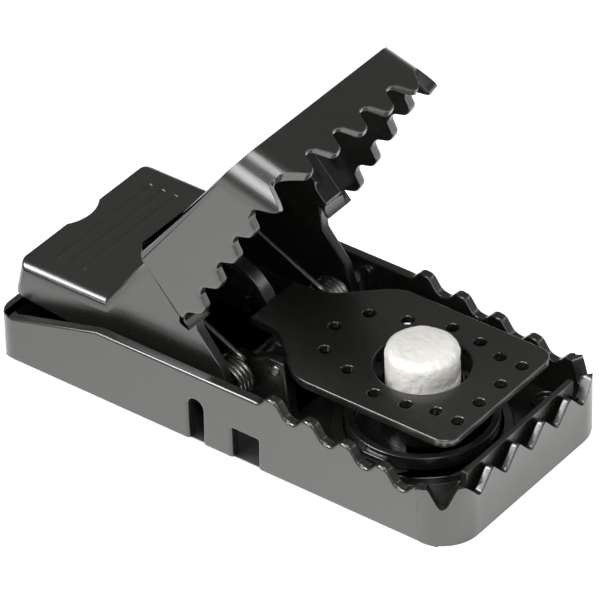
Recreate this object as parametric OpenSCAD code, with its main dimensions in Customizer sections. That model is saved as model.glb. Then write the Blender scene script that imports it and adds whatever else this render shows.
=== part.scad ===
// Snap mouse trap, set. X runs from the handle to the toothed front, Z is up,
// and the origin is the middle of the footprint, on the ground.

/* [Base tray] */
// Length of the base
base_l = 98; // [96:1:102]
// Width of the base and of the jaw
base_w = 46; // [46:1:48]
// Thickness of the walls of the base and the jaw
wall = 2.1; // [1.9:0.1:2.2]
// Plan radius of the front corners
front_r = 7.4; // [6.6:0.2:8]
// Plan radius of the rear corners
rear_r = 4; // [3:0.5:5]
// Height of the level part of the side rim
rim_z = 14.3; // [14:0.1:14.4]
// Height of the rim round the rear
rear_z = 9; // [8:0.5:10]
// Height of the underside of the floor
floor_z = 1; // [0.6:0.2:1.4]
// Thickness of the floor
floor_t = 1.6; // [1.4:0.1:1.8]

/* [Teeth] */
// Pitch of the teeth along the sides
side_pitch = 7.65; // [7.6:0.05:7.7]
// Height of the side teeth
side_tooth = 2.3; // [2:0.1:2.6]
// Fall of the toothed rim toward the front, in degrees
rim_fall = 8.9; // [8.5:0.1:9.2]
// Pitch of the teeth along the front
front_pitch = 7.5; // [7.4:0.05:7.6]
// Height of the front teeth
front_tooth = 3.5; // [3:0.1:3.8]
// Gap between the two sets of teeth when the jaw is shut
tooth_gap = 0.7; // [0.6:0.1:0.9]

/* [Jaw and handle] */
// Place of the jaw shaft along the base
pivot_x = -4.2; // [-4.3:0.1:-4.1]
// Height of the jaw shaft
pivot_z = 8.5; // [8.4:0.1:8.6]
// Travel of the jaw from set to shut, in degrees
jaw_travel = 69.5; // [69:0.5:70]
// Half of the width over the two arms
arm_half = 18.8; // [18.7:0.1:19]
// Height of the top of the handle when the trap is set
handle_z = 17.8; // [17.4:0.1:18]
// Slope of the back plate when the trap is set, in degrees
back_slope = 52; // [51:0.5:53]

/* [Trigger] */
// Height of the top of the pedal
pedal_z = 16.5; // [16.4:0.1:16.6]
// Thickness of the pedal
pedal_t = 1.6; // [1.4:0.1:1.7]
// Half of the width of the pedal
pedal_half = 15.6; // [15:0.2:16]
// Diameter of the bait hole in the pedal
bait_hole_d = 16.8; // [16.4:0.2:17]
// Diameter of the small holes in the pedal
scent_hole_d = 2.2; // [1.8:0.1:2.4]

/* [Bait cup] */
// Outer radius of the turning bait cup
cup_r = 13.4; // [13:0.1:13.5]
// Diameter of the bait
bait_d = 13.2; // [12:0.4:13.2]

/* [Hidden] */
$fn = 48;
eps = 0.01;
front_x = base_l / 2;
half_w = base_w / 2;
floor_top = floor_z + floor_t;
jaw_wall = wall - 0.1;
// the toothed rim
side_teeth = 5;
first_crest_x = 11.4;
side_mean_z = 14.95;
front_mean_z = 10.15;
corner_mean_z = 10.1;
corner_depth = 2.3;
corner_half = 3.3;
corner_turn = 54;
lip_t = 1.1;
lip_x = front_x - wall - 0.3;
lip_z = 12.2;
tooth_t = 1.5;
tooth_groove_z = 7.4;
// shaft, pin and the towers that carry them
shaft_d = 2.5;
shaft_half = 19.5;
pin_d = 1.8;
pin_x = 3;
pin_z = 11.5;
tower_in = 8.7;
tower_t = 2.2;
run_gap = 0.05;
// arms and handle
arm_t = 2;
hub_r = 3.3;
handle_rear = [-47.1, 17.8];
handle_toe = [-48.7, 11];
handle_r = 3;
handle_plate = 2;
valley_x = -28.1;
plate_l = 21.5;
edge_r = 2.4;
groove_r = 1.2;
groove_depth = 0.22;
groove_x = -42.1;
groove_pitch = 2.8;
groove_l = 26.5;
notch_r = 7.9;
notch_x = -53.5;
notch_lean = 9;
// hood of the jaw, in the shut position
hood_slope = 17.2;
hood_edge_r = 1;
fold = [50, 18.6];
fold_r = 0.8;
front_lean = 5;
front_gap = 0.3;
round_half = 2 * front_pitch;
front_clear = [0.2, 12.6];
gap_growth = 0.024;
hood_rear_foot = [8.9, 15.4];
hood_rear_top = [15.93, 29.14];
hood_rear_r = 2;
// pedal outline
neck_x = -5.6;
neck_half = 6.5;
swell_x = -1.5;
swell_l = 14.5;
// catch finger
finger_c = [-15.2, 11.6];
finger_r = 10.6;
finger_t = 1.6;
finger_w = 2.8;
// bait cup
cup_x = 26.3;
cup_top = 6.6;
well_r = 7.2;
well_top = 13;
well_floor = 9.4;
bait_h = 11.4;
lug_r = 14.5;
lug_turn = 40;
// springs
wire_d = 1.1;
coil_r = 3.45;
coil_turns = 5;
coil_pitch = 1.07;
coil_in = 11.7;
front_leg = 15.8;
front_leg_a = -6.6;
rear_leg = 20.9;
rear_leg_a = 154;

// ---- shared shapes -------------------------------------------------------

// one period of a tooth, flattened at crest and root, between -1 and 1
function tooth(t) = (sin(t) + 0.12 * sin(3 * t)) / 0.88;

// one period of a sharper tooth, between -1 and 1
function sharp_tooth(t) = asin(0.96 * sin(t)) / asin(0.96);

// height of the toothed side rim at x
function side_edge(x) = side_mean_z - tan(rim_fall) * (x - first_crest_x)
    + side_tooth / 2 * tooth(90 + 360 * (x - first_crest_x) / side_pitch);

// height of the toothed front rim at y, with round teeth within round_half of the middle
function front_edge(y, round_half = 0) = let (t = 360 * y / front_pitch - 90)
    front_mean_z + front_tooth / 2 * (abs(y) < round_half ? tooth(t) : sharp_tooth(t));

// side profile of everything under the rim, raised by up and by a gap that grows forward
module under_rim(up = 0, growth = 0) {
    root_x = first_crest_x - side_pitch / 2;
    last_x = first_crest_x + (side_teeth - 1) * side_pitch;
    end_z = front_mean_z + front_tooth / 2;
    polygon(concat(
        [[-80, -20], [-80, rear_z + up], [-45, rear_z + up], [-26, rim_z + up]],
        [for (x = [root_x : side_pitch / 12 : last_x + eps])
            [x, side_edge(x) + up + growth * (x - first_crest_x)]],
        [[last_x + 1.5, end_z + up], [80, end_z + up], [80, -20]]));
}

// front profile of everything under the front rim, raised by up
module under_front(up = 0, round_half = 0) {
    last_y = 2.5 * front_pitch;
    polygon(concat(
        [[-80, -20], [-80, front_edge(last_y) + up]],
        [for (y = [-last_y : front_pitch / 12 : last_y + eps])
            [y, front_edge(y, round_half) + up]],
        [[80, front_edge(last_y) + up], [80, -20]]));
}

// profile of the deep corner notch, open at the top, raised by up
module corner_notch(up = 0) {
    polygon(concat(
        [for (u = [-corner_half : corner_half / 6 : corner_half + eps])
            [u, corner_mean_z - corner_depth * cos(180 * u / corner_half) + up]],
        [[corner_half, 40], [-corner_half, 40]]));
}

// lays a profile drawn in X and Z across the part
module across(w) {
    rotate([90, 0, 0])
        linear_extrude(w, center = true) children();
}

// lays a profile drawn in Y and Z along X, from x0 over length l
module along(x0, l) {
    translate([x0, 0, 0])
        rotate([90, 0, 90]) linear_extrude(l) children();
}

// places a child at each front corner, facing out through its notch
module at_front_corners() {
    for (s = [-1, 1])
        translate([front_x - front_r, s * (half_w - front_r), 0])
            rotate([0, 0, corner_turn * s]) children();
}

// v at length 1
function unit(v) = v / norm(v);

// centre of a round of radius r in the corner p between sides that leave it along u and v
function round_centre(p, u, v, r) = p + r / sqrt((1 - u * v) / 2) * unit(u + v);

// what that round takes off the corner; it meets each side in a clean line
module round_off(p, u, v, r) {
    c = round_centre(p, u, v, r);
    a = p + ((c - p) * u) * u;
    b = p + ((c - p) * v) * v;
    difference() {
        polygon([c, 2 * a - c, 2 * p - c, 2 * b - c]);
        translate(c) circle(r + eps);
    }
}

// plan outline of the base, moved in by inset
module plan(inset = 0) {
    rf = front_r - inset;
    rr = rear_r - inset;
    translate([-front_x + rear_r, -half_w + inset])
        square([base_l - rear_r - front_r, base_w - 2 * inset]);
    translate([-front_x + inset, -half_w + rear_r])
        square([rear_r + 1, base_w - 2 * rear_r]);
    translate([front_x - front_r - 1, -half_w + front_r])
        square([front_r + 1 - inset, base_w - 2 * front_r]);
    for (s = [-1, 1]) {
        translate([-front_x + rear_r, s * (half_w - rear_r)]) circle(rr);
        translate([front_x - front_r, s * (half_w - front_r)]) circle(rf);
    }
}

// a rod between two points of one X-Z plane
module rod(a, b, y, d) {
    v = b - a;
    translate([a[0], y, a[1]])
        rotate([0, atan2(v[0], v[1]), 0]) cylinder(h = norm(v), d = d, $fn = 24);
}

// ---- base ----------------------------------------------------------------

// the front zone whose wall is toothed on its outer face
module front_zone(w = base_w) {
    translate([lip_x, -w / 2, -5]) cube([20, w, 60]);
}

module base_walls() {
    difference() {
        linear_extrude(40) plan();
        translate([0, 0, -1]) linear_extrude(42) difference() {
            plan(wall);
            translate([lip_x - lip_t, -half_w]) square([20, base_w]);
        }
        // pocket behind the corner arcs
        translate([0, 0, -1]) linear_extrude(42) intersection() {
            plan(wall);
            for (s = [-1, 1])
                translate([lip_x - lip_t - 1, s * (half_w - 6) - 5]) square([20, 10]);
        }
        // the walls end at the rim, and the front wall at its lip and teeth
        difference() {
            translate([-60, -30, 0]) cube([120, 60, 60]);
            across(base_w + 2) under_rim();
        }
        difference() {
            front_zone();
            along(lip_x - 1, 30) under_front();
        }
        at_front_corners()
            translate([front_r - wall - 1.2, 0, 0])
                rotate([90, 0, 90]) linear_extrude(8) corner_notch();
        // groove between the front teeth and the lip
        translate([lip_x, -half_w + front_r, tooth_groove_z])
            cube([front_x - tooth_t - lip_x, base_w - 2 * front_r, 20]);
    }
    // lip behind the front teeth
    translate([lip_x - lip_t, -half_w + front_r, floor_z])
        cube([lip_t, base_w - 2 * front_r, lip_z - floor_z]);
}

module base_floor() {
    difference() {
        translate([0, 0, floor_z]) linear_extrude(floor_t) plan(wall / 2);
        // wells for the springs and the arms
        for (s = [-1, 1])
            translate([-17, s > 0 ? tower_in + tower_t + 0.5 : -half_w, -1])
                cube([26, half_w - tower_in - tower_t - 0.5, 5]);
    }
    // raised ring that the bait cup turns in
    translate([cup_x, 0, floor_z]) cylinder(r = cup_r + 2.2, h = 3.2);
    // moulded rings in the front corners
    for (s = [-1, 1])
        translate([39.2, s * 18.1, floor_top - 0.4]) difference() {
            cylinder(r = 2.6, h = 1.4);
            translate([0, 0, -eps]) cylinder(r = 1.8, h = 3);
        }
    // stiffening ribs under the handle
    for (s = [-1, 1])
        translate([-46.5, s * 10 - 0.7, floor_z]) cube([28, 1.4, 4.6]);
}

module cup_opening() {
    translate([cup_x, 0, -1]) cylinder(r = cup_r + 0.15, h = 8);
    translate([cup_x, 0, -1]) cylinder(r = cup_r + 1.6, h = 1 + floor_z + 0.7);
    for (a = [90, 270])
        translate([cup_x, 0, 0]) rotate([0, 0, a + lug_turn])
            translate([0, -3.4, -1]) cube([lug_r + 0.5, 6.8, 9]);
}

// the two uprights that carry the shaft and the pin
module towers() {
    for (s = [-1, 1])
        translate([0, s * (tower_in + tower_t / 2), 0]) across(tower_t) {
            polygon([[-8.4, floor_z], [-7.4, 9.5], [-5.6, 11.6], [-2.4, 11.6], [1, 13.6],
                     [5, 13.6], [6.4, floor_z]]);
        }
}

// a rounded upright on the inside of each side wall
module wall_posts() {
    for (s = [-1, 1])
        translate([-0.5, s * (half_w - wall - 0.55), 0]) {
            translate([-1.2, -0.6, floor_z]) cube([2.4, 1.2, 11.3]);
            translate([0, 0.6, floor_z + 11.3]) rotate([90, 0, 0]) cylinder(r = 1.2, h = 1.2);
        }
}

module base() {
    color("black")
    difference() {
        union() {
            base_walls();
            base_floor();
            towers();
            wall_posts();
        }
        cup_opening();
        translate([pivot_x, 0, pivot_z]) rotate([90, 0, 0])
            cylinder(d = shaft_d, h = 2 * (tower_in + tower_t) + 2, center = true);
        translate([pin_x, 0, pin_z]) rotate([90, 0, 0])
            cylinder(d = pin_d, h = 2 * (tower_in + tower_t) + 2, center = true);
        // round-topped slot and square notch through each side wall
        translate([-5.05, 0, 7.45]) rotate([90, 0, 0])
            cylinder(r = 1.55, h = base_w + 2, center = true);
        for (s = [-1, 1]) {
            translate([-6.6, s * half_w - 2.8, -1]) cube([3.1, 5.6, 8.45]);
            translate([2.7, s * half_w - 2.8, -1]) cube([5.6, 5.6, 7.4]);
        }
    }
}

// ---- jaw -----------------------------------------------------------------

// turns a shape drawn shut about the shaft to where it stands when set
module set_from_shut() {
    translate([pivot_x, 0, pivot_z]) rotate([0, -jaw_travel, 0])
        translate([-pivot_x, 0, -pivot_z]) children();
}

// plan outline of the hood, with its front at x = 0, moved in by inset
module hood_plan(inset) {
    r = front_r - inset;
    side = half_w - inset;
    translate([-90, -side]) square([90 - front_r, 2 * side]);
    translate([-front_r - 1, -side + r]) square([front_r + 1 - inset, 2 * (side - r)]);
    for (s = [-1, 1]) translate([-front_r, s * (side - r)]) circle(r);
}

// side profile of the hood: its top, its leaning front and the round fold between
module fold_profile(inset) {
    top_dir = [-cos(hood_slope), sin(hood_slope)];
    front_dir = [sin(front_lean), -cos(front_lean)];
    r = max(fold_r - inset, 0);
    c = round_centre(fold, top_dir, front_dir, max(fold_r, inset));
    a = c + r * [sin(hood_slope), cos(hood_slope)];
    b = c + r * [cos(front_lean), sin(front_lean)];
    polygon(concat([[-90, -60], a + 120 * top_dir, a], r > 0 ? [b] : [], [b + 60 * front_dir]));
    if (r > 0) translate(c) circle(r);
}

// rounded block of the hood, moved in by inset
module hood_block(inset) {
    intersection() {
        translate([fold[0], 0, fold[1]]) rotate([0, -front_lean, 0])
            translate([0, 0, -30]) linear_extrude(90) hood_plan(inset);
        translate([fold[0], 0, fold[1]]) rotate([0, hood_slope, 0])
            along(-70, 90) channel_section(half_w - inset, inset, max(hood_edge_r - inset, 0));
        across(80) fold_profile(inset);
    }
}

// everything in front of the slanting rear edge of the hood, moved forward by d
module before_rear_edge(d = 0) {
    foot = hood_rear_foot + [d, 0];
    top = hood_rear_top + [d, 0];
    across(80) polygon([[foot[0], -20], foot, top, top + 30 * unit(top - foot), [90, 60],
                        [90, -20]]);
}

// what rounds the upper rear corner of the hood
module hood_rear_round() {
    across(80) round_off(hood_rear_top, unit(hood_rear_foot - hood_rear_top),
                         [cos(hood_slope), -sin(hood_slope)], hood_rear_r);
}

// everything above the teeth of the jaw
module above_jaw_teeth() {
    difference() {
        translate([0, -30, -10]) cube([80, 60, 70]);
        across(base_w + 2) under_rim(tooth_gap, gap_growth);
    }
    difference() {
        translate([0.35, 0, 0]) front_zone(base_w - 2 * front_r + 8);
        along(lip_x, 30) under_front(front_gap, round_half);
    }
    at_front_corners()
        translate([front_r - wall - 1.6, 0, 0])
            rotate([90, 0, 90]) linear_extrude(10) corner_notch(tooth_gap);
}

module hood() {
    intersection() {
        difference() {
            hood_block(0);
            hood_rear_round();
            difference() {
                hood_block(jaw_wall);
                // rear frame that joins the hood to the arms
                difference() {
                    translate([0, -30, 0]) cube([40, 60, 60]);
                    before_rear_edge(2.2);
                }
            }
        }
        before_rear_edge();
        above_jaw_teeth();
        // the round front teeth pass in front of the base
        difference() {
            translate([0, -30, -10]) cube([80, 60, 80]);
            translate([lip_x, -round_half, -10])
                cube([front_x + front_clear[0] - lip_x, 2 * round_half, front_clear[1] + 10]);
        }
    }
}

// cross-section of a channel: flat top, rounded outer edges
module channel_section(half, drop, r) {
    translate([-half, -60 - drop]) square([2 * half, 60 - r]);
    if (r > 0) {
        translate([-half + r, -drop - r - 1]) square([2 * (half - r), r + 1]);
        for (s = [-1, 1]) translate([s * (half - r), -drop - r]) circle(r);
    }
}

// the handle direction and the back plate direction, as two overlapping bars
module channel(half, drop, r) {
    along(-60, 60) translate([0, handle_z]) channel_section(half, drop, r);
    translate([valley_x, 0, handle_z]) rotate([0, -back_slope, 0])
        along(-45, 90) channel_section(half, drop, r);
}

// side outline of handle and arms together
module arm_outline() {
    back = [cos(back_slope), sin(back_slope)];
    rise = [valley_x, handle_z] + plate_l * back;
    over = handle_rear + (handle_rear - handle_toe) / 4;
    across(60) polygon([handle_toe, over, [valley_x - 0.6, over[1]],
                        rise + [-1.2, 0.9], rise + [6.2, -4.6], [-7.2, 20.4], [-2.4, 14.6],
                        [-1.1, 9.6], [pivot_x + 1.4, pivot_z - 2.9], [pivot_x - 1.4, pivot_z - 2.9],
                        [-8.4, 7]]);
}

module arms() {
    difference() {
        intersection() {
            channel(arm_half, 0, edge_r);
            arm_outline();
        }
        arm_cavity();
        handle_corners();
        // finger notch and round-bottomed grooves of the handle
        translate([notch_x, 0, handle_z + 1]) rotate([0, notch_lean, 0])
            cylinder(r = notch_r, h = 12, center = true);
        for (k = [0 : 2])
            translate([groove_x + k * groove_pitch, 0, handle_z + groove_r - groove_depth])
                rotate([90, 0, 0]) cylinder(r = groove_r, h = groove_l, center = true);
    }
}

// what rounds the rear corners of the handle, square to its leaning rear face
module handle_corners() {
    lean = atan2(handle_rear[0] - handle_toe[0], handle_rear[1] - handle_toe[1]);
    translate([handle_toe[0], 0, handle_toe[1]]) rotate([0, lean, 0])
        translate([0, 0, -5]) linear_extrude(20)
            for (s = [-1, 1]) round_off([0, s * arm_half], [1, 0], [0, -s], handle_r);
}

// inside of the handle and the arms, open below
module arm_cavity() {
    inner_z = handle_z - handle_plate;
    inner_valley = [valley_x + handle_plate * tan(back_slope / 2), inner_z];
    inner_top = inner_valley + 30 * [cos(back_slope), sin(back_slope)];
    across(2 * (arm_half - arm_t))
        polygon([[-46.6, 0], [-45.3, inner_z], inner_valley, inner_top, [20, inner_top[1]],
                 [20, 0]]);
}

module hubs() {
    for (s = [-1, 1])
        translate([pivot_x, s * (arm_half - arm_t / 2), pivot_z])
            rotate([90, 0, 0]) cylinder(r = hub_r, h = arm_t, center = true);
}

// small rib under the back plate that the pedal's finger holds
module catch_rib() {
    translate([pivot_x, 0, pivot_z]) rotate([0, -44, 0])
        translate([-1.5, -4, 18.7]) cube([1.6, 8, 4.4]);
}

module jaw() {
    color("black")
    difference() {
        union() {
            difference() {
                set_from_shut() hood();
                arm_cavity();
            }
            arms();
            hubs();
            catch_rib();
        }
        translate([pivot_x, 0, pivot_z]) rotate([90, 0, 0])
            cylinder(d = shaft_d + 2 * run_gap, h = 60, center = true);
    }
}

// ---- trigger -------------------------------------------------------------

// half width of the pedal at x: a narrow neck that swells in an S to the plate
function pedal_edge(x) = neck_half + (pedal_half - neck_half)
    * (1 - cos(180 * min(max((x - swell_x) / swell_l, 0), 1))) / 2;

module pedal_plan() {
    front = 43;
    r = 3;
    side = concat(
        [[neck_x, neck_half]],
        [for (k = [0 : 10]) let (x = swell_x + k / 10 * swell_l) [x, pedal_edge(x)]],
        [[front - r, pedal_half]]);
    mirrored = [for (k = [len(side) - 1 : -1 : 0]) [side[k][0], -side[k][1]]];
    polygon(concat(side, mirrored));
    translate([front - r - 1, -pedal_half + r]) square([r + 1, 2 * (pedal_half - r)]);
    for (s = [-1, 1]) translate([front - r, s * (pedal_half - r)]) circle(r);
}

module scent_holes() {
    pairs = [[40.3, 9.3], [40.3, 3.1], [35.8, 9.3], [30.6, 10.7], [24.4, 11.3],
             [16.9, 8.6], [10.4, 6.3]];
    for (p = pairs, s = [-1, 1]) translate([p[0], s * p[1]]) circle(d = scent_hole_d);
    translate([7.8, 0]) circle(d = scent_hole_d);
}

// curved finger that rises from the rear of the pedal
module finger() {
    intersection() {
        translate([finger_c[0], 0, finger_c[1]]) rotate([90, 0, 0]) difference() {
            cylinder(r = finger_r, h = finger_w, center = true);
            cylinder(r = finger_r - finger_t, h = finger_w + 1, center = true);
        }
        across(finger_w + 1) polygon([finger_c, finger_c + [20, 5.5], finger_c + [20, 20],
                                      finger_c + [0, 20]]);
    }
}

module pedal() {
    color("black")
    difference() {
        union() {
            translate([0, 0, pedal_z - pedal_t]) linear_extrude(pedal_t) difference() {
                pedal_plan();
                translate([cup_x, 0]) circle(d = bait_hole_d);
                scent_holes();
            }
            for (s = [-1, 1]) translate([pin_x, s * 7.4, pin_z]) {
                rotate([90, 0, 0]) cylinder(r = 2.2, h = 1.6, center = true);
                translate([-2.2, -0.8, 0]) cube([4.4, 1.6, pedal_z - pedal_t - pin_z + 0.2]);
            }
            finger();
        }
        translate([pin_x, 0, pin_z]) rotate([90, 0, 0])
            cylinder(d = pin_d + 2 * run_gap, h = 30, center = true);
    }
}

// ---- bait cup and bait ---------------------------------------------------

module bait_cup() {
    color("black")
    translate([cup_x, 0, 0]) {
        difference() {
            rotate_extrude() polygon([
                [0, 0.3], [cup_r + 1.4, 0.3], [cup_r + 1.4, floor_z + 0.5], [cup_r, floor_z + 0.5],
                [cup_r, cup_top], [cup_r - 1.5, cup_top], [cup_r - 1.5, 3.2], [well_r, 3.2],
                [well_r, well_top], [well_r - 0.5, well_top], [well_r - 0.5, well_floor],
                [0, well_floor]]);
            // thumb recesses either side of the grip bar
            for (s = [-1, 1]) intersection() {
                translate([0, 0, -1]) cylinder(r = cup_r - 2.4, h = 2.6);
                translate([-15, s > 0 ? 1.6 : -15, -1]) cube([30, 13.4, 2.6]);
            }
        }
        for (a = [90, 270]) rotate([0, 0, a])
            translate([cup_r - 0.5, -2.4, 4.5]) cube([lug_r - cup_r + 0.3, 4.8, 1.3]);
    }
}

module bait() {
    r = bait_d / 2;
    soft = 1.8;
    color("white")
    translate([cup_x, 0, well_floor]) rotate_extrude() {
        square([r - soft, bait_h]);
        translate([0, soft]) square([r, bait_h - 2 * soft]);
        for (z = [soft, bait_h - soft]) translate([r - soft, z]) circle(soft);
    }
}

// ---- steel ---------------------------------------------------------------

module jaw_shaft() {
    color("silver")
    translate([pivot_x, 0, pivot_z]) rotate([90, 0, 0])
        cylinder(d = shaft_d, h = 2 * shaft_half, center = true);
}

module pedal_pin() {
    color("silver")
    translate([pin_x, 0, pin_z]) rotate([90, 0, 0])
        cylinder(d = pin_d, h = 2 * (tower_in + tower_t), center = true);
}

// half profile of a coil of close turns, joined so that it is one solid
module coil_profile() {
    for (k = [0 : coil_turns - 1])
        translate([coil_r, k * coil_pitch]) circle(d = wire_d, $fn = 24);
    translate([coil_r - 0.3, 0]) square([0.6, (coil_turns - 1) * coil_pitch]);
}

// torsion spring on side s: coil round the shaft, one leg to the floor in front
// and one leg up under the back plate
module spring(s) {
    pivot = [pivot_x, pivot_z];
    leg_d = wire_d - 0.1;
    inner_y = s * coil_in;
    outer_y = s * (coil_in + (coil_turns - 1) * coil_pitch);
    front_dir = [cos(front_leg_a), sin(front_leg_a)];
    rear_dir = [cos(rear_leg_a), sin(rear_leg_a)];
    front_start = pivot + coil_r * [sin(front_leg_a), -cos(front_leg_a)];
    rear_start = pivot + coil_r * [sin(rear_leg_a), -cos(rear_leg_a)];
    color("silver") {
        translate([pivot_x, inner_y, pivot_z]) rotate([-90 * s, 0, 0])
            rotate_extrude() coil_profile();
        rod(front_start, front_start + front_leg * front_dir, outer_y, leg_d);
        rod(rear_start, rear_start + rear_leg * rear_dir, inner_y, leg_d);
    }
}

module near_spring() { spring(-1); }
module far_spring() { spring(1); }

base();
jaw();
pedal();
bait_cup();
bait();
jaw_shaft();
pedal_pin();
near_spring();
far_spring();
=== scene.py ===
"""Looks of a snap mouse trap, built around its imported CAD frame. All lengths are in metres."""

import math

import bmesh
import bpy
from mathutils import Matrix, Vector, noise


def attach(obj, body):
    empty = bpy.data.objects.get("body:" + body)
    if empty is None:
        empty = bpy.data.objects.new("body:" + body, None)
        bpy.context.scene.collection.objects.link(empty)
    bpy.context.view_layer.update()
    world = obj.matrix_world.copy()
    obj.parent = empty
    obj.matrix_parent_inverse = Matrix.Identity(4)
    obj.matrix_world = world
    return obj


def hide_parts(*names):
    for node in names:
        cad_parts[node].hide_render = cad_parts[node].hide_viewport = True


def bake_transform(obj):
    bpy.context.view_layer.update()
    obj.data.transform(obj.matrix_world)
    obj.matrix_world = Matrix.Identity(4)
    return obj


MM = 0.001

# where the camera looks from and how it is rolled, in degrees, and its aim, its distance
# and its focal length, in millimetres
CAMERA_AZIMUTH = 37.617
CAMERA_ELEVATION = 36.547
CAMERA_ROLL = -1.27
CAMERA_AIM = (-15.079, 20.091, 0)
CAMERA_DISTANCE = 1070.97
CAMERA_LENS = 364.4
CAMERA_SENSOR = 36

# each softbox: name, azimuth and elevation in degrees, distance and size in metres, radiance
SOFTBOXES = (
    ("left_box", -137, 48, 0.8, (0.27, 0.36), 16),
    ("corner_box", -103, 34, 0.9, (0.22, 0.36), 9),
    ("front_box", -42, 40, 0.9, (0.34, 0.34), 4.5),
    ("overhead", -60, 80, 0.9, (0.35, 0.35), 7),
    ("back_strip", 60, 30, 0.9, (0.5, 0.14), 2.5),
)
LIGHTS_AIM = (0, 0, 0.02)
WORLD_COLOUR = (1, 1, 0.98)
WORLD_STRENGTH = 0.17

# half length and half width of the trap's footprint and its corner radius, in millimetres
FOOTPRINT = (48.6, 22.6)
FOOTPRINT_CORNER = 7.4
# how far inside the footprint's edge the painted shadow under the trap is fully dark, in
# millimetres
FOOTPRINT_FADE = 0.6
FLOOR_HALF_SIZE = 3
FLOOR_WHITE = (0.76, 0.76, 0.755)
# the colour of the shadow painted on the floor under the trap
FLOOR_PAINTED_SHADOW = (0.06, 0.06, 0.06)
FLOOR_TINT = (1, 1, 0.985)
# how much the floor glows at two places along X, in millimetres: behind the trap, and at
# its front and beyond
REAR_GLOW_X, REAR_GLOW = -120, 0.1
FRONT_GLOW_X, FRONT_GLOW = 60, 1


# ---- camera, lights and floor -------------------------------------------------


def make_camera():
    """A long lens above the near front corner, with a slight roll."""
    azimuth, elevation = math.radians(CAMERA_AZIMUTH), math.radians(CAMERA_ELEVATION)
    roll = math.radians(CAMERA_ROLL)
    back = Vector(
        (
            math.sin(azimuth) * math.cos(elevation),
            -math.cos(azimuth) * math.cos(elevation),
            math.sin(elevation),
        )
    )
    right = Vector((math.cos(azimuth), math.sin(azimuth), 0))
    up = back.cross(right)
    right, up = (
        math.cos(roll) * right + math.sin(roll) * up,
        math.cos(roll) * up - math.sin(roll) * right,
    )
    data = bpy.data.cameras.new("camera")
    data.lens = CAMERA_LENS
    data.sensor_width = CAMERA_SENSOR
    data.clip_start, data.clip_end = 0.05, 20
    camera = bpy.data.objects.new("camera", data)
    bpy.context.scene.collection.objects.link(camera)
    turn = Matrix((right, up, back)).transposed().to_4x4()
    place = Vector(CAMERA_AIM) * MM + back * (CAMERA_DISTANCE * MM)
    camera.matrix_world = Matrix.Translation(place) @ turn
    bpy.context.scene.camera = camera


def softbox(name, place, size, radiance):
    """A rectangular white light whose face has the given radiance."""
    data = bpy.data.lights.new(name, "AREA")
    data.shape = "RECTANGLE"
    data.size, data.size_y = size
    data.energy = radiance * math.pi * size[0] * size[1]
    light = bpy.data.objects.new(name, data)
    bpy.context.scene.collection.objects.link(light)
    light.location = place
    light.rotation_mode = "QUATERNION"
    light.rotation_quaternion = (Vector(LIGHTS_AIM) - place).to_track_quat("-Z", "Y")


def toward(azimuth, elevation, distance):
    """The point at that distance from the origin; azimuth 0 is +X and 90 is +Y, in degrees."""
    a, e = math.radians(azimuth), math.radians(elevation)
    flat = math.cos(e)
    return distance * Vector((math.cos(a) * flat, math.sin(a) * flat, math.sin(e)))


def make_lights():
    for name, azimuth, elevation, distance, size, radiance in SOFTBOXES:
        softbox(name, toward(azimuth, elevation, distance), size, radiance)


def make_world():
    world = bpy.data.worlds.new("studio")
    bpy.context.scene.world = world
    world.use_nodes = True
    background = world.node_tree.nodes["Background"]
    background.inputs["Color"].default_value = (*WORLD_COLOUR, 1)
    background.inputs["Strength"].default_value = WORLD_STRENGTH


def make_floor():
    mesh = bpy.data.meshes.new("floor")
    build = bmesh.new()
    bmesh.ops.create_grid(build, x_segments=1, y_segments=1, size=FLOOR_HALF_SIZE)
    build.to_mesh(mesh)
    build.free()
    floor = bpy.data.objects.new("floor", mesh)
    bpy.context.scene.collection.objects.link(floor)
    floor.data.materials.append(floor_material())


# ---- materials ----------------------------------------------------------------


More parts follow.
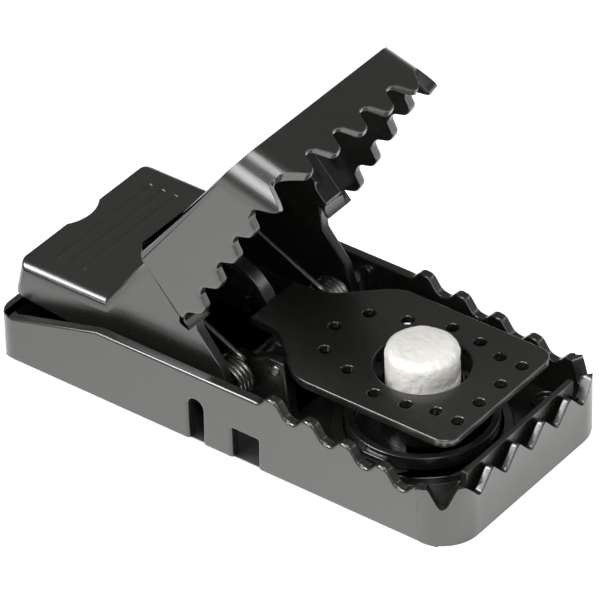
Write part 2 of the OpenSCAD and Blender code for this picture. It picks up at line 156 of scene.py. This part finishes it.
class Graph:
    """A material with its shader, and short ways to add and join nodes."""

    def __init__(self, name):
        self.material = bpy.data.materials.new(name)
        self.material.use_nodes = True
        self.nodes = self.material.node_tree.nodes
        self.links = self.material.node_tree.links
        self.shader = self.nodes["Principled BSDF"]

    def add(self, kind, **inputs):
        node = self.nodes.new("ShaderNode" + kind)
        for key, value in inputs.items():
            node.inputs[key.replace("_", " ")].default_value = value
        return node

    def join(self, source, target, key):
        self.links.new(source, target.inputs[key])

    def place(self, scale=(1, 1, 1)):
        """Where a point is on the object, in millimetres times scale."""
        coordinates = self.add("TexCoord")
        mapping = self.add("Mapping")
        mapping.inputs["Scale"].default_value = [k / MM for k in scale]
        self.join(coordinates.outputs["Object"], mapping, "Vector")
        return mapping.outputs["Vector"]

    def noise(self, per_mm, detail, scale=(1, 1, 1)):
        """Noise of about per_mm waves to a millimetre, stretched along an axis by scale."""
        node = self.add("TexNoise", Scale=per_mm, Detail=detail)
        self.join(self.place(scale), node, "Vector")
        return node.outputs["Fac"]

    def ramp(self, value, low, high, start, end):
        """start where value is low, end where it is high."""
        node = self.add("MapRange")
        keys = ("From Min", "From Max", "To Min", "To Max")
        for key, number in zip(keys, (low, high, start, end)):
            node.inputs[key].default_value = number
        self.join(value, node, "Value")
        return node.outputs["Result"]

    def math(self, operation, a, b):
        node = self.nodes.new("ShaderNodeMath")
        node.operation = operation
        for key, value in enumerate((a, b)):
            if isinstance(value, (int, float)):
                node.inputs[key].default_value = value
            else:
                self.join(value, node, key)
        return node.outputs["Value"]

    def mix(self, factor, a, b):
        """Colour a where factor is 0 and b where it is 1."""
        node = self.nodes.new("ShaderNodeMix")
        node.data_type = "RGBA"
        node.inputs["A"].default_value = (*a, 1)
        node.inputs["B"].default_value = (*b, 1)
        self.join(factor, node, "Factor")
        return node.outputs["Result"]

    def bump(self, height, depth, strength=1, below=None):
        """Relief that is depth millimetres deep; below is the relief it lies on."""
        node = self.add("Bump", Strength=strength, Distance=depth * MM)
        self.join(height, node, "Height")
        if below:
            self.join(below, node, "Normal")
        return node.outputs["Normal"]


def floor_material():
    """A lit white sweep with a painted shadow right under the trap, where it is dark and does not
    glow.
    """
    graph = Graph("white_sweep")
    split = graph.add("SeparateXYZ")
    graph.join(graph.place(), split, "Vector")
    square = 0
    for axis, half in zip("XY", FOOTPRINT):
        inner = half - FOOTPRINT_CORNER
        past = graph.math("SUBTRACT", graph.math("ABSOLUTE", split.outputs[axis], 0), inner)
        square = graph.math("ADD", graph.math("POWER", graph.math("MAXIMUM", past, 0), 2), square)
    outside = graph.math("SUBTRACT", graph.math("SQRT", square, 0), FOOTPRINT_CORNER)
    # painted shadow: inside the trap's footprint the floor takes the dark colour and does not glow
    outside_painted_shadow = graph.ramp(outside, -FOOTPRINT_FADE, 0, 0, 1)
    # the sweep glows less behind the trap
    fade = graph.ramp(split.outputs["X"], REAR_GLOW_X, FRONT_GLOW_X, REAR_GLOW, FRONT_GLOW)
    graph.join(graph.math("MULTIPLY", outside_painted_shadow, fade), graph.shader, "Emission Strength")
    graph.join(graph.mix(outside_painted_shadow, FLOOR_PAINTED_SHADOW, FLOOR_WHITE), graph.shader, "Base Color")
    graph.shader.inputs["Roughness"].default_value = 0.9
    graph.shader.inputs["Specular IOR Level"].default_value = 0
    graph.shader.inputs["Emission Color"].default_value = (*FLOOR_TINT, 1)
    return graph.material


PLASTIC_ROUGHNESS = 0.24


def black_plastic():
    """Glossy moulded ABS: a faint flow texture, fine scratches and a little dust."""
    graph = Graph("black_plastic")
    shader = graph.shader
    specks = graph.noise(per_mm=2.2, detail=6)
    dust = graph.ramp(specks, low=0.52, high=0.74, start=0, end=1)
    clean, dusty = (0.0115, 0.0112, 0.0100), (0.0165, 0.0160, 0.0145)
    graph.join(graph.mix(dust, clean, dusty), shader, "Base Color")
    clouds = graph.noise(per_mm=0.12, detail=4)
    flow = graph.ramp(clouds, low=0.3, high=0.7, start=-0.03, end=0.04)
    streaks = graph.noise(per_mm=1.4, detail=2, scale=(0.06, 1.7, 1.7))
    scratches = graph.ramp(streaks, low=0.66, high=0.72, start=0, end=0.07)
    rough = graph.math("ADD", graph.math("ADD", flow, scratches), PLASTIC_ROUGHNESS)
    graph.join(rough, shader, "Roughness")
    grain = graph.bump(graph.noise(per_mm=5, detail=2), depth=0.004, strength=0.35)
    unevenness = graph.noise(per_mm=0.16, detail=1)
    waves = graph.bump(unevenness, depth=0.05, strength=0.35, below=grain)
    graph.join(waves, shader, "Normal")
    shader.inputs["IOR"].default_value = 1.55
    shader.inputs["Specular IOR Level"].default_value = 0.95
    return graph.material


def marshmallow():
    """Soft white foam under a dusting of starch."""
    graph = Graph("marshmallow")
    shader = graph.shader
    clouds = graph.noise(per_mm=0.5, detail=5)
    patch = graph.ramp(clouds, low=0.35, high=0.7, start=0, end=1)
    cream, starch = (0.87, 0.845, 0.79), (0.93, 0.92, 0.89)
    graph.join(graph.mix(patch, cream, starch), shader, "Base Color")
    shader.inputs["Roughness"].default_value = 0.85
    shader.inputs["Specular IOR Level"].default_value = 0.3
    shader.inputs["Subsurface Weight"].default_value = 0.35
    shader.inputs["Subsurface Radius"].default_value = (1, 0.85, 0.7)
    shader.inputs["Subsurface Scale"].default_value = 1.2 * MM
    powder = graph.bump(graph.noise(per_mm=7, detail=4), depth=0.06, strength=0.8)
    pits = graph.noise(per_mm=0.9, detail=3)
    dimples = graph.bump(pits, depth=0.5, strength=0.8, below=powder)
    graph.join(dimples, shader, "Normal")
    return graph.material


def steel(name, colour, rough, brushed=(1, 1, 1)):
    """Drawn steel, with lines along an axis where brushed is small on it."""
    graph = Graph(name)
    shader = graph.shader
    shader.inputs["Metallic"].default_value = 1
    patches = graph.noise(per_mm=0.7, detail=4)
    stain = graph.ramp(patches, low=0.4, high=0.75, start=0, end=1)
    tarnished = [0.62 * c for c in colour]
    graph.join(graph.mix(stain, colour, tarnished), shader, "Base Color")
    drawn = graph.noise(per_mm=6, detail=2, scale=brushed)
    lines = graph.ramp(drawn, low=0.3, high=0.7, start=rough - 0.06, end=rough + 0.08)
    graph.join(lines, shader, "Roughness")
    fine = graph.noise(per_mm=9, detail=2, scale=brushed)
    graph.join(graph.bump(fine, depth=0.01, strength=0.5), shader, "Normal")
    return graph.material


# ---- pieces -------------------------------------------------------------------


def new_object(name, build, material, smooth=True):
    """A piece from a bmesh, in metres and in the shared frame."""
    mesh = bpy.data.meshes.new(name)
    build.to_mesh(mesh)
    build.free()
    for face in mesh.polygons:
        face.use_smooth = smooth
    mesh.materials.append(material)
    piece = bpy.data.objects.new(name, mesh)
    bpy.context.scene.collection.objects.link(piece)
    return piece


# X and Z of the jaw shaft and the pedal pin, and the jaw's travel: the CAD's own numbers, in
# millimetres and degrees
PIVOT = (-4.2, 8.5)
PIN = (3, 11.5)
JAW_TRAVEL = 69.5
# vertices this close are one, in millimetres, and faces this level with each other are one,
# in degrees
SAME_POINT = 0.004
SAME_PLANE = 1.5
# edges that turn this many degrees or more are rounded, and flatter ones are crisp from the
# second number up and smooth below it
BEVEL_FROM = 40
CRISP_FROM = 28
BEVEL_SEGMENTS = 4
NORMAL_WEIGHT = 90
# radius of the inside corners, and of the fine teeth that mesh round the front corners
INNER_RADIUS = 0.15
CORNER_RADIUS = 0.12
# those teeth lie past this X, this far from the middle and above this Z
CORNER_START = (40.5, 14, 2)
# how far from the middle the trap's outer side faces begin
OUTER_SIDE = 22.9


def moulded(frame, node, material, radius, outer_radius=None, turn=None):
    """The CAD node with its sharp edges rounded, as they leave a mould.

    Edges on the outer side faces take outer_radius. A piece with teeth lies over the footprint
    once turned by turn degrees about the shaft, and its teeth stay crisp round the front
    corners.
    """
    pivot = Vector((PIVOT[0], 0, PIVOT[1])) * MM
    shut = Matrix.Rotation(math.radians(turn or 0), 3, "Y")
    build = bmesh.new()
    build.from_mesh(frame["nodes"][node].data)
    bmesh.ops.remove_doubles(build, verts=build.verts, dist=SAME_POINT * MM)
    bmesh.ops.dissolve_degenerate(build, edges=build.edges, dist=SAME_POINT * MM)
    bmesh.ops.dissolve_limit(
        build,
        angle_limit=math.radians(SAME_PLANE),
        verts=build.verts,
        edges=build.edges,
    )
    weights = build.edges.layers.float.new("bevel_weight_edge")
    widest = outer_radius or radius
    for edge in build.edges:
        angle = edge.calc_face_angle() if len(edge.link_faces) == 2 else 0
        if angle < math.radians(BEVEL_FROM):
            # shallow grooves keep a crisp line
            edge.smooth = angle < math.radians(CRISP_FROM)
            continue
        outside = outer_radius and all(abs(vert.co.y) > OUTER_SIDE * MM for vert in edge.verts)
        places = [shut @ (vert.co - pivot) + pivot for vert in edge.verts]
        at_corner = turn is not None and all(
            place.x > CORNER_START[0] * MM
            and abs(place.y) > CORNER_START[1] * MM
            and place.z > CORNER_START[2] * MM
            for place in places
        )
        if at_corner:
            edge[weights] = CORNER_RADIUS / widest if edge.is_convex else 0
        elif edge.is_convex:
            edge[weights] = (outer_radius if outside else radius) / widest
        elif not outside:
            edge[weights] = INNER_RADIUS / widest
    piece = new_object(node + "_moulded", build, material)
    bevel = piece.modifiers.new("edges", "BEVEL")
    bevel.width = widest * MM
    bevel.segments = BEVEL_SEGMENTS
    bevel.limit_method = "WEIGHT"
    bevel.use_clamp_overlap = False
    bevel.miter_outer = "MITER_ARC"
    normals = piece.modifiers.new("flat faces", "WEIGHTED_NORMAL")
    normals.weight = NORMAL_WEIGHT
    normals.keep_sharp = True
    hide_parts(node)
    # each moulding is the main node of the body with its name
    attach(piece, node)


def sweep(build, path, radius, sides=12):
    """A round wire along a list of points, closed at both ends."""
    rings = []
    across = Vector((0, 1, 0))
    for k, point in enumerate(path):
        ahead = (path[min(k + 1, len(path) - 1)] - path[max(k - 1, 0)]).normalized()
        across = (across - ahead * ahead.dot(across)).normalized()
        up = ahead.cross(across)
        ring = []
        for j in range(sides):
            a = 2 * math.pi * j / sides
            ring.append(build.verts.new(point + radius * (math.cos(a) * across + math.sin(a) * up)))
        if rings:
            last = rings[-1]
            for j in range(sides):
                build.faces.new(
                    (last[j], last[(j + 1) % sides], ring[(j + 1) % sides], ring[j])
                )
        rings.append(ring)
    build.faces.new(list(reversed(rings[0])))
    build.faces.new(rings[-1])


# the springs, in millimetres: wire diameter, coil radius, and how far from the middle the
# coil begins and ends; each leg is a length and a direction in degrees
WIRE = 1.1
COIL_R = 3.45
COIL_TURNS = 5
COIL_IN = 11.7
COIL_OUT = COIL_IN + 4.28
FRONT_LEG = (15.8, -6.6)
REAR_LEG = (20.9, 154)
TURN_STEPS = 36
FRONT_LEG_STEPS = 8
REAR_LEG_STEPS = 10


def spring(name, node, side, material):
    """A torsion spring round the jaw shaft, with a front leg and a rear leg."""
    leg_front, leg_rear = math.radians(FRONT_LEG[1]), math.radians(REAR_LEG[1])
    start = leg_front - math.pi / 2
    finish = leg_rear - math.pi / 2 - 2 * math.pi * COIL_TURNS

    def at(angle, y):
        x = PIVOT[0] + COIL_R * math.cos(angle)
        z = PIVOT[1] + COIL_R * math.sin(angle)
        return Vector((x, side * y, z)) * MM

    steps = COIL_TURNS * TURN_STEPS
    wind = [(start + (finish - start) * k / steps, k / steps) for k in range(steps + 1)]
    coil = [at(angle, COIL_OUT + (COIL_IN - COIL_OUT) * part) for angle, part in wind]
    front = Vector((math.cos(leg_front), 0, math.sin(leg_front))) * FRONT_LEG[0] * MM
    rear = Vector((math.cos(leg_rear), 0, math.sin(leg_rear))) * REAR_LEG[0] * MM
    path = [coil[0] + front * k / FRONT_LEG_STEPS for k in range(FRONT_LEG_STEPS, 0, -1)]
    path += coil
    path += [coil[-1] + rear * k / REAR_LEG_STEPS for k in range(1, REAR_LEG_STEPS + 1)]
    build = bmesh.new()
    sweep(build, path, WIRE / 2 * MM)
    piece = new_object(name, build, material)
    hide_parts(node)
    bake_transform(piece)


def skin(build, rings):
    """Joins the rings into one closed surface, with a flat face over the first and the last."""
    for first, second in zip(rings, rings[1:]):
        count = len(first)
        for k in range(count):
            after = (k + 1) % count
            build.faces.new((first[k], second[k], second[after], first[after]))
    build.faces.new(rings[0])
    build.faces.new(list(reversed(rings[-1])))
    bmesh.ops.recalc_face_normals(build, faces=build.faces)


ROD_SIDES = 40
ROD_CHAMFER = 0.25


def rod(name, node, centre, length, diameter, material):
    """A pin across the trap, with a small chamfer at each end."""
    build = bmesh.new()
    half = length / 2
    profile = [
        (-half, diameter / 2 - ROD_CHAMFER),
        (-half + ROD_CHAMFER, diameter / 2),
        (half - ROD_CHAMFER, diameter / 2),
        (half, diameter / 2 - ROD_CHAMFER),
    ]
    rings = []
    for y, r in profile:
        ring = []
        for k in range(ROD_SIDES):
            a = 2 * math.pi * k / ROD_SIDES
            point = Vector((centre[0] + r * math.cos(a), y, centre[1] + r * math.sin(a)))
            ring.append(build.verts.new(point * MM))
        rings.append(ring)
    skin(build, rings)
    piece = new_object(name, build, material, smooth=False)
    for face in piece.data.polygons:
        face.use_smooth = len(face.vertices) == 4
    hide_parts(node)
    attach(piece, "base")


# bait, in millimetres
BAIT_X = 26.3
BAIT_R = 6.5
BAIT_CORNER = 1.6
BAIT_LOW = 9.42
BAIT_HIGH = 20.72
BAIT_SIDES = 96
# rings on the flat top, round a corner and down the side
END_STEPS = 4
CORNER_STEPS = 8
SIDE_STEPS = 15
# how deep dents and creases go, as parts of the radius, and how far the top sags
DENT_DEPTH = 0.018
CREASE_DEPTH = 0.02
SAG = 0.22


def bait_profile():
    """Radius and height of each ring, from the top's middle down to the bottom's rim."""
    inner = BAIT_R - BAIT_CORNER
    top, bottom = BAIT_HIGH - BAIT_CORNER, BAIT_LOW + BAIT_CORNER
    corner = [math.pi / 2 * k / CORNER_STEPS for k in range(1, CORNER_STEPS + 1)]
    profile = [(k / END_STEPS * inner, BAIT_HIGH) for k in range(1, END_STEPS + 1)]
    for a in corner:
        profile.append((inner + BAIT_CORNER * math.sin(a), top + BAIT_CORNER * math.cos(a)))
    for k in range(1, SIDE_STEPS + 1):
        profile.append((BAIT_R, top - k / SIDE_STEPS * (top - bottom)))
    for a in corner:
        profile.append((inner + BAIT_CORNER * math.cos(a), bottom - BAIT_CORNER * math.sin(a)))
    return profile


def bait_point(r, z, a):
    """A point of the bait's rough, slightly slumped skin, in millimetres about its axis."""
    point = Vector((r * math.cos(a), r * math.sin(a), z))
    dent = noise.fractal(point * 0.17, 0.9, 2.1, 4)
    # creases run down the side, where the noise crosses zero
    crease = abs(noise.noise(Vector((point.x * 0.35, point.y * 0.35, point.z * 0.16))))
    scale = 1 - DENT_DEPTH * abs(dent) - CREASE_DEPTH * (1 - min(crease * 6, 1))
    sag = SAG * noise.noise(point * 0.2 + Vector((7, 3, 1))) - SAG
    z_moved = z + sag * (z - BAIT_LOW) / (BAIT_HIGH - BAIT_LOW)
    return Vector((BAIT_X + point.x * scale, point.y * scale, z_moved))


def bait_piece(material):
    """A small marshmallow: a soft cylinder, a little slumped and dented."""
    build = bmesh.new()
    rings = []
    for r, z in bait_profile():
        ring = []
        for k in range(BAIT_SIDES):
            point = bait_point(r, z, 2 * math.pi * k / BAIT_SIDES)
            ring.append(build.verts.new(point * MM))
        rings.append(ring)
    skin(build, rings)
    piece = new_object("bait_marshmallow", build, material)
    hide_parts("bait")
    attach(piece, "bait_cup")


# ---- the scene ----------------------------------------------------------------

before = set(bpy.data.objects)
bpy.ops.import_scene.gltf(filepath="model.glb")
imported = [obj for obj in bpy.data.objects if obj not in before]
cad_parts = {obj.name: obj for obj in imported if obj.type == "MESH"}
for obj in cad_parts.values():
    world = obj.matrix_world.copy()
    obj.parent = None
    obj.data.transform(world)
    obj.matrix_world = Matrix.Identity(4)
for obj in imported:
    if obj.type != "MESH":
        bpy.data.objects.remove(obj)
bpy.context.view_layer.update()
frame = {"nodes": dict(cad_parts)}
make_camera()
make_world()
make_lights()
make_floor()
bpy.context.scene.view_settings.view_transform = "Standard"

plastic = black_plastic()
pin_steel = steel("steel", colour=(0.62, 0.61, 0.59), rough=0.28, brushed=(1, 0.05, 1))
spring_steel = steel("spring_steel", colour=(0.34, 0.335, 0.32), rough=0.3)
moulded(frame, "base", plastic, radius=0.35, outer_radius=0.65, turn=0)
moulded(frame, "jaw", plastic, radius=0.35, outer_radius=0.85, turn=JAW_TRAVEL)
moulded(frame, "pedal", plastic, radius=0.3)
moulded(frame, "bait_cup", plastic, radius=0.25)
spring("near_spring_wire", "near_spring", -1, spring_steel)
spring("far_spring_wire", "far_spring", 1, spring_steel)
rod("jaw_shaft_pin", "jaw_shaft", PIVOT, length=39, diameter=2.5, material=pin_steel)
rod("pedal_pin_rod", "pedal_pin", PIN, length=21.8, diameter=1.8, material=pin_steel)
bait_piece(marshmallow())
